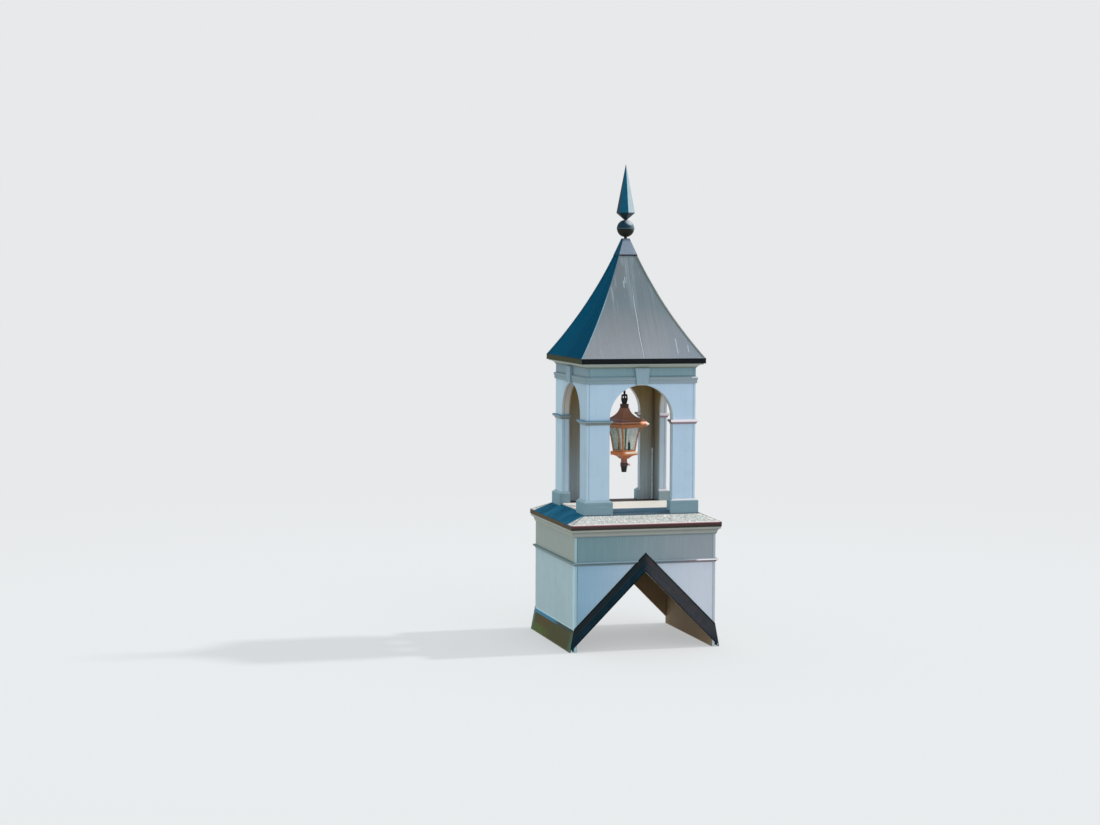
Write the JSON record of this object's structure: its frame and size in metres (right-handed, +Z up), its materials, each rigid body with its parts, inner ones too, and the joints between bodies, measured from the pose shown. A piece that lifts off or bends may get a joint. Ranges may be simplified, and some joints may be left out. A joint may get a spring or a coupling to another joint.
{
  "type": "barn cupola",
  "caption": "Square barn cupola with a saddle base, copper skirt roof, open arched lantern, bell-cast copper roof, finial and hanging copper lamp.",
  "frame": {"origin": "middle of the base, level with the lowest corners that meet the barn roof", "axes": "+Z up; -Y is the front, the side seen most in the picture; the barn ridge runs along Y"},
  "size_m": [1.084, 1.084, 3.3428],
  "materials": {
    "white_paint": "white painted boards",
    "white_trim": "white painted mouldings",
    "timber": "plain sheathing boards",
    "roof_copper": "weathered sheet copper, grey brown with pale streaks",
    "skirt_copper": "weathered sheet copper with a pale mottled patina",
    "dark_copper": "dark weathered copper edges and flashing",
    "finial_copper": "dark weathered copper",
    "lamp_copper": "warm copper, hat browned",
    "lamp_glass": "clear glass",
    "black_iron": "black painted iron"
  },
  "bodies": {
    "root": {"base_wall_front": "white_paint", "base_wall_back": "white_paint", "base_wall_left": "white_paint", "base_wall_right": "white_paint", "band_moulding": "white_trim", "crown_moulding": "white_trim", "rake_flashing_front": "dark_copper", "rake_flashing_back": "dark_copper", "apron_flashing_left": "dark_copper", "apron_flashing_right": "dark_copper", "skirt_deck": "timber", "skirt_roof": "skirt_copper", "skirt_drip_edge": "dark_copper", "lantern_floor": "skirt_copper", "pier_front_left": "white_paint", "pier_front_right": "white_paint", "pier_back_left": "white_paint", "pier_back_right": "white_paint", "plinth_blocks": "white_trim", "impost_mouldings": "white_trim", "arch_head_front": "white_paint", "arch_head_back": "white_paint", "arch_head_left": "white_paint", "arch_head_right": "white_paint", "keystones": "white_trim", "architrave": "white_trim", "bed_moulding": "white_trim", "ceiling_board": "white_paint", "roof_deck": "timber", "main_roof": "roof_copper", "roof_drip_edge": "dark_copper", "roof_cap": "roof_copper", "finial_neck": "finial_copper", "finial_ball": "finial_copper", "finial_spear": "finial_copper", "lamp_rod": "black_iron", "lamp_yoke": "black_iron", "lamp_hat": "lamp_copper", "lamp_rim": "lamp_copper", "lamp_frame": "lamp_copper", "lamp_glass": "lamp_glass", "lamp_candles": "black_iron", "lamp_cup": "lamp_copper", "lamp_valve": "black_iron"}
  },
  "joints": []
}
